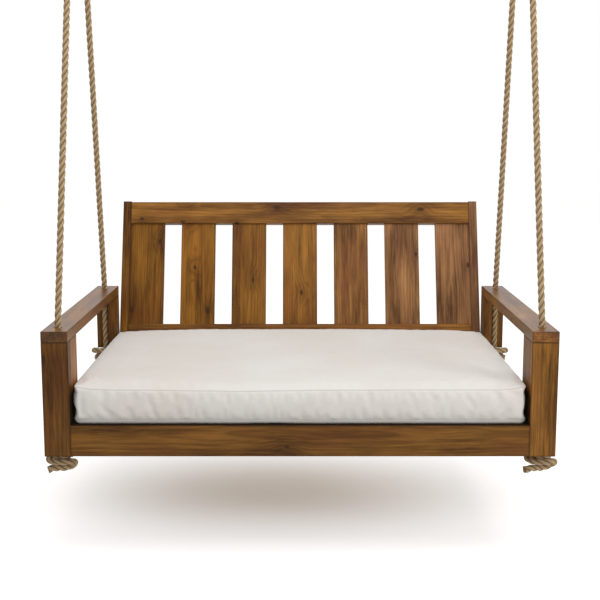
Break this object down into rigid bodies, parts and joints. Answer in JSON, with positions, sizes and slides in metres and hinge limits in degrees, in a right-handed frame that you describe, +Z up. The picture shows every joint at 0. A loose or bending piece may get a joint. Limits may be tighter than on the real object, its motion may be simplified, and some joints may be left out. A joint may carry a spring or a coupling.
{
  "type": "hanging swing bed",
  "caption": "Slatted wooden daybed with arms and a leaning slatted back, hung on knotted ropes from ceiling hooks, with a lift-out box cushion.",
  "frame": {"origin": "on the ceiling plane, midway between the two ceiling plates", "axes": "+Z up, the front of the bed faces -Y, +X to the right seen from the front"},
  "size_m": [1.7601, 1.2866, 2.5597],
  "materials": {
    "frame_wood": "satin brown stain over knotty softwood",
    "rail_wood": "satin brown stain over knotty softwood",
    "dowel_wood": "bare hardwood",
    "rope": "three-strand laid rope, matt",
    "steel": "galvanised, dull",
    "screw_steel": "zinc plated",
    "foam": "open-cell foam",
    "linen": "plain weave, matt"
  },
  "bodies": {
    "ceiling_hardware": {"left_ceiling_plate": "steel", "right_ceiling_plate": "steel", "left_hook": "steel", "right_hook": "steel", "hook_nuts": "steel"},
    "swing": {"left_ring": "steel", "right_ring": "steel", "front_left_rope": "rope", "front_right_rope": "rope", "rear_left_rope": "rope", "rear_right_rope": "rope", "front_left_thimble": "steel", "front_right_thimble": "steel", "rear_left_thimble": "steel", "rear_right_thimble": "steel", "front_left_knot": "rope", "front_right_knot": "rope", "rear_left_knot": "rope", "rear_right_knot": "rope", "left_armrest": "frame_wood", "right_armrest": "frame_wood", "left_front_leg_board": "frame_wood", "right_front_leg_board": "frame_wood", "left_front_inner_board": "frame_wood", "right_front_inner_board": "frame_wood", "left_rear_leg_board": "frame_wood", "right_rear_leg_board": "frame_wood", "left_rear_inner_board": "frame_wood", "right_rear_inner_board": "frame_wood", "left_side_rail": "rail_wood", "right_side_rail": "rail_wood", "front_rail": "frame_wood", "rear_rail": "rail_wood", "middle_beam": "rail_wood", "front_ledger": "rail_wood", "rear_ledger": "rail_wood", "seat_slats": "rail_wood", "left_stile": "frame_wood", "right_stile": "frame_wood", "back_top_rail": "frame_wood", "back_bottom_rail": "frame_wood", "back_slat_1": "frame_wood", "back_slat_2": "frame_wood", "back_slat_3": "frame_wood", "back_slat_4": "frame_wood", "back_slat_5": "frame_wood", "back_slat_6": "frame_wood", "back_slat_7": "frame_wood", "arm_dowels": "dowel_wood", "leg_dowels": "dowel_wood", "rail_dowels": "dowel_wood", "back_dowels": "dowel_wood", "back_bolts": "screw_steel", "back_nuts": "screw_steel", "back_lag_screws": "screw_steel", "back_spacers": "screw_steel", "screw_plugs": "frame_wood", "slat_screws": "screw_steel"},
    "cushion": {"cushion_foam": "foam", "cushion_cover": "linen"}
  },
  "joints": [
    {"name": "swing_hinge", "type": "hinge", "parent": "ceiling_hardware", "child": "swing", "pos_m": [0, 0, -0.119], "axis": [1, 0, 0], "range_deg": [-20, 20]},
    {"name": "cushion_lift", "type": "slide", "parent": "swing", "child": "cushion", "axis": [0, 0, 1], "range_m": [0, 0.3]}
  ]
}
